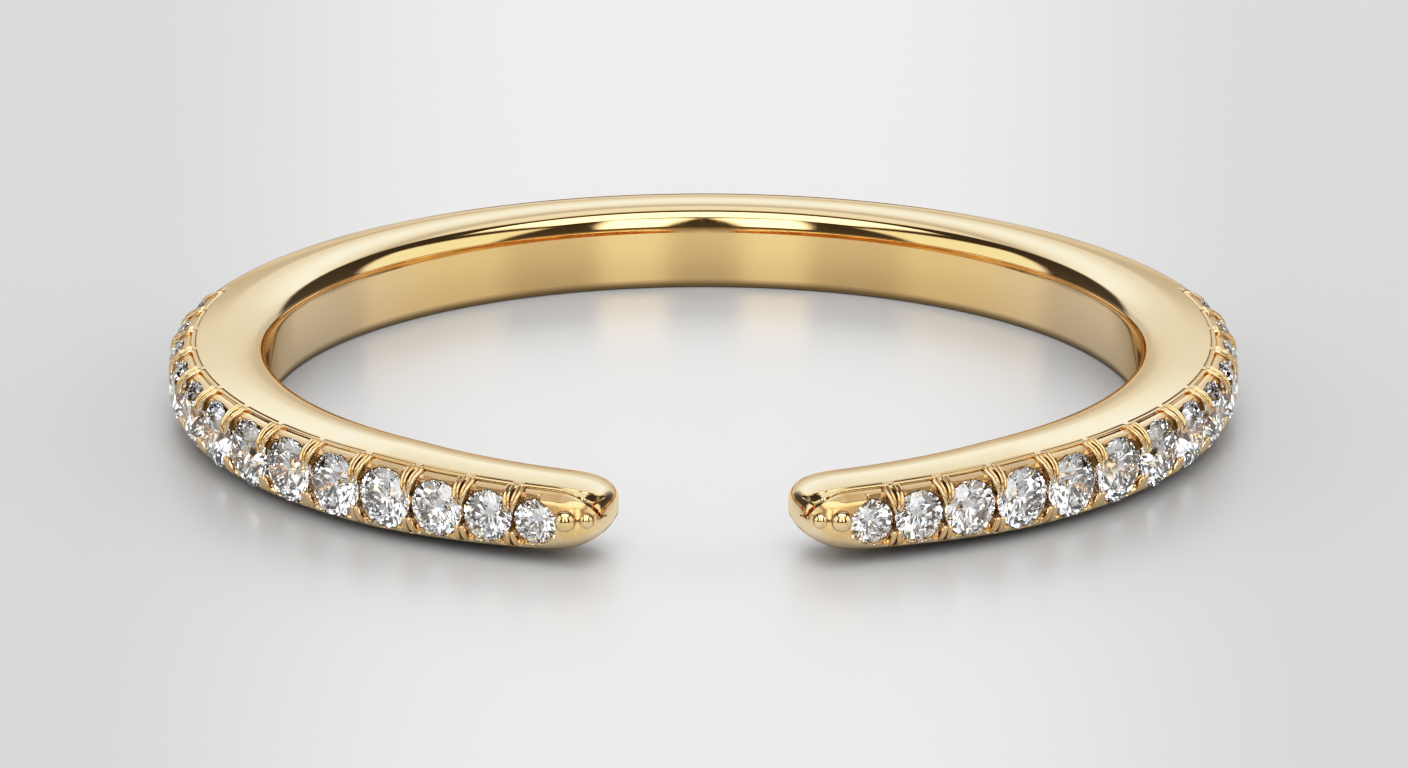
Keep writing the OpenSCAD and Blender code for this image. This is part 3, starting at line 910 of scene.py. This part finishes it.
# small lamps seen only through the stones: azimuth, elevation, half size in degrees, value, tint
sparks = [
    (-14, 34, 3, 3, (1, 1, 1)), (16, 22, 3, 3, (1, 0.99, 0.96)), (-42, 40, 3, 3, (0.93, 0.96, 1)),
    (44, 46, 3, 3, (1, 1, 1)), (-70, 20, 3, 12, (0.72, 0.82, 1)), (74, 26, 3, 12, (1, 0.88, 0.55)),
    (-28, 64, 4, 4, (1, 1, 1)), (30, 70, 4, 4, (1, 1, 1)), (-34, 12, 3, 34, (1, 0.76, 0.24)),
    (36, 14, 3, 34, (0.34, 0.56, 1)), (6, 8, 3, 30, (0.36, 0.58, 1)), (-8, 16, 3, 30, (1, 0.76, 0.26)),
    (24, 44, 3, 30, (1, 0.76, 0.26)), (-24, 40, 3, 30, (0.34, 0.56, 1)), (2, 50, 3, 4, (1, 1, 1)),
    (-105, 38, 4, 9, (1, 0.98, 0.94)), (108, 34, 4, 9, (0.95, 0.97, 1)), (-92, 14, 4, 13, (1, 1, 1)),
    (92, 14, 4, 13, (1, 1, 1)), (-96, 56, 4, 13, (1, 1, 1)), (96, 56, 4, 13, (1, 1, 1)),
    (-128, 22, 4, 11, (1, 1, 1)), (128, 22, 4, 11, (1, 1, 1)), (-82, 36, 5, 11, (1, 1, 1)),
    (82, 36, 5, 11, (1, 1, 1)), (-98, 28, 18, 8.0, (1, 1, 1)), (98, 28, 18, 8.0, (1, 1, 1)),
    (-132, 24, 20, 12.0, (1, 1, 1)), (132, 24, 20, 12.0, (1, 1, 1)), (-64, 10, 4, 10, (1, 1, 1)),
    (66, 8, 4, 10, (1, 1, 1)), (-112, 12, 5, 11, (1, 1, 1)), (112, 12, 5, 11, (1, 1, 1)),
    (-60, 58, 3, 14, (1, 0.90, 0.62)), (62, 60, 3, 14, (0.70, 0.80, 1)),
]
sparkAway = 0.12


# azimuth 0 is in front of the ring, 90 to its right
def towards(azimuth, elevation):
    a, e = math.radians(azimuth), math.radians(elevation)
    return Vector((math.sin(a) * math.cos(e), -math.cos(a) * math.cos(e), math.sin(e)))


# a soft-edged oblong of light, as the share of it in each direction
def patch(tree, place, azimuth, elevation, width, height, soft):
    centre = towards(azimuth, elevation)
    side = towards(azimuth + 90, 0)
    top = centre.cross(side) * -1

    def along(axis):
        return addNode(tree, "ShaderNodeVectorMath", {"operation": "DOT_PRODUCT"},
                       {0: place, 1: axis}, "Value")

    facing = along(centre)
    across = (along(side) / facing).size()
    tall = (along(top) / facing).size()
    outAcross = across.between(width - soft, width + soft)
    outTall = tall.between(height - soft, height + soft)
    ahead = facing.maths("GREATER_THAN", facing, 0.05)  # leaves out its image on the opposite side
    return (1 - outAcross) * (1 - outTall) * ahead


def stripShare(x, y, z):
    strip = studio["strip"]
    up = z.maths("MAXIMUM", z, 0.02)  # never divides by zero
    across, deep = x.size() / up, (y + strip["shift"]).size() / up
    outAcross = across.between(strip["half"] - strip["halfSoft"], strip["half"] + strip["halfSoft"])
    outDeep = deep.between(strip["deep"] - strip["deepSoft"], strip["deep"] + strip["deepSoft"])
    return (1 - outAcross) * (1 - outDeep)


def makeWorld():
    world = bpy.data.worlds.new("studio")
    scene.world = world
    world.use_nodes = True
    tree = world.node_tree
    tree.nodes.clear()
    place = addNode(tree, "ShaderNodeTexCoord", output="Generated")
    x, y, z = (addNode(tree, "ShaderNodeSeparateXYZ", inputs={"Vector": place}, output=axis)
               for axis in "XYZ")
    elevation = z.maths("ARCSINE", z) / math.pi + 0.5
    peak = studio["peak"]
    profiles = []
    for side in ("far", "near"):
        stops = [(0.5 + angle / 180, tuple(value / peak * c for c in studio[side + "Tint"]))
                 for angle, value in studio[side]]
        profiles.append(addNode(tree, "ShaderNodeValToRGB", {"stops": stops}, {"Fac": elevation}))
    far, near = profiles
    wide = x.size() / y.maths("MAXIMUM", y, 0.02)  # never divides by zero
    behind = (1 - wide.between(*studio["farEdge"])) * y.maths("GREATER_THAN", y, 0.0)
    tone = mixColours(tree, behind, near, far)
    tone = mixColours(tree, stripShare(x, y, z), tone, (studio["strip"]["value"] / peak,) * 3)
    for azimuth, height, wideness, tallness, soft, value, tint in softBoxes:
        share = patch(tree, place, azimuth, height, wideness, tallness, soft)
        tone = mixColours(tree, share, tone, tuple(value / peak * c for c in tint))
    back = addNode(tree, "ShaderNodeBackground", inputs={"Color": tone, "Strength": peak})
    addNode(tree, "ShaderNodeOutputWorld", inputs={"Surface": back})


# a round area lamp that faces the ring and doesn't show in the metal
def diskLamp(name, place, width, power, tint):
    data = bpy.data.lights.new(name, "AREA")
    data.shape = "DISK"
    data.size = width
    data.energy = power
    data.color = tint
    lamp = bpy.data.objects.new(name, data)
    lamp.location = place
    lamp.rotation_mode = "QUATERNION"
    lamp.rotation_quaternion = (-place).to_track_quat("-Z", "Y")
    lamp.visible_glossy = False
    scene.collection.objects.link(lamp)
    return lamp


def makeLamps():
    for i, (azimuth, height, away, width, power) in enumerate(fills):
        lamp = diskLamp(f"fill{i}", towards(azimuth, height) * away, width, power, (1, 1, 1))
        lamp.visible_transmission = False
    for i, (azimuth, height, size, value, tint) in enumerate(sparks):
        width = 2 * sparkAway * math.tan(math.radians(size))
        power = value * (math.pi * width / 2) ** 2  # as bright as value, whatever the width
        lamp = diskLamp(f"spark{i}", towards(azimuth, height) * sparkAway, width, power, tint)
        lamp.visible_diffuse = False


# a soft shoulder, as film has, so that bright gold goes to cream: brightness against what is shown
shoulder = ((0.2, 0.2), (0.4, 0.4), (0.6, 0.595), (0.8, 0.755), (1.0, 0.865), (1.3, 0.96))
whiteLevel = 1.6


def softenHighlights():
    view = scene.view_settings
    view.view_transform = "Standard"
    view.use_curve_mapping = True
    mapping = view.curve_mapping
    mapping.white_level = (whiteLevel,) * 3
    curve = mapping.curves[3]  # the combined curve
    for light, shown in shoulder:
        curve.points.new(light / whiteLevel, shown)
    mapping.update()


makeWorld()
makeLamps()
softenHighlights()
scene.cycles.caustics_reflective = False
scene.cycles.caustics_refractive = False
scene.cycles.max_bounces = 24
scene.cycles.glossy_bounces = 10
scene.cycles.transmission_bounces = 20
print("light made")
